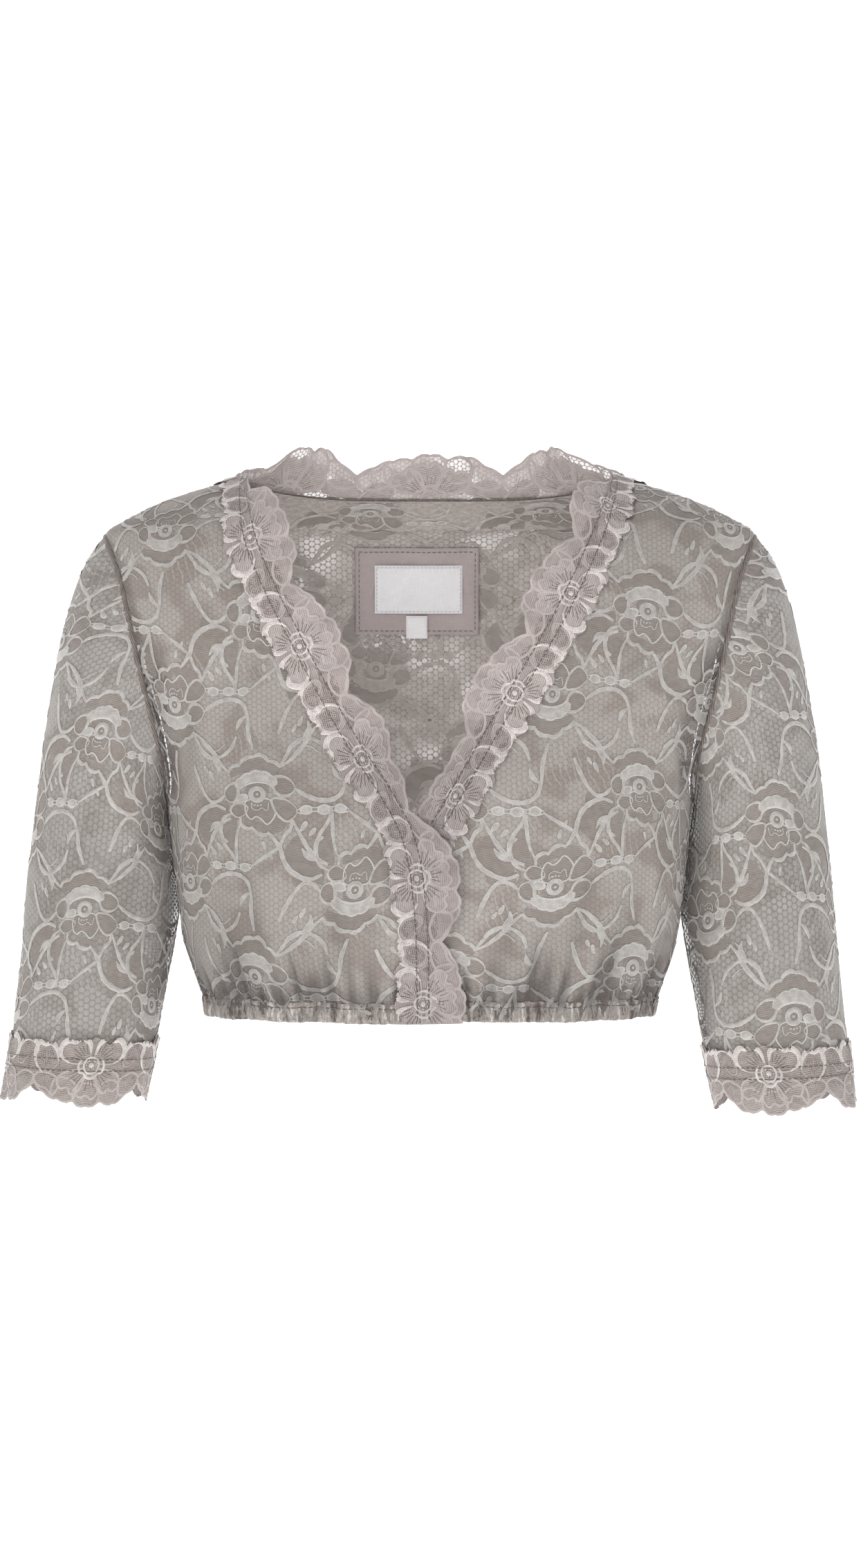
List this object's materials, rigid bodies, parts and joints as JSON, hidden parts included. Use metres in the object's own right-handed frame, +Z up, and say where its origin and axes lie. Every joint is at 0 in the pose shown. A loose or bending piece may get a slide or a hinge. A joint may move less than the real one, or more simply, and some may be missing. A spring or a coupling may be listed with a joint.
{
  "type": "dirndl blouse",
  "caption": "Short lace dirndl blouse with a deep V neck, crossed fronts, half sleeves, scalloped lace trims and an elastic under-bust hem, filled out as worn.",
  "frame": {"origin": "middle of the neck at the height of the shoulder line beside it, where the wearer's shoulders carry the blouse", "axes": "+Z up, -Y is the front of the blouse, +X is the wearer's left"},
  "size_m": [0.5306, 0.2124, 0.4184],
  "materials": {
    "lace_front": "floral raschel lace over a fine taupe mesh, matt with slightly glossy cords",
    "lace_back": "floral raschel lace, single layer of net",
    "lace_sleeve": "floral raschel lace, single layer of net",
    "trim_lace": "rosy grey scalloped lace edging with glossy cords",
    "elastic_casing": "gathered lace folded over elastic, with one stitch line",
    "patch_cotton": "plain woven cotton",
    "label_white": "white woven satin label, blank"
  },
  "bodies": {
    "root": {"front_right": "lace_front", "front_left": "lace_front", "back": "lace_back", "sleeve_right": "lace_sleeve", "sleeve_left": "lace_sleeve", "cuff_trim_right": "trim_lace", "cuff_trim_left": "trim_lace", "neck_trim_right": "trim_lace", "neck_trim_left": "trim_lace", "neck_trim_back": "trim_lace", "hem_right": "elastic_casing", "hem_left": "elastic_casing", "hem_back": "elastic_casing", "label_patch": "patch_cotton", "woven_label": "label_white", "size_tag": "label_white"}
  },
  "joints": []
}
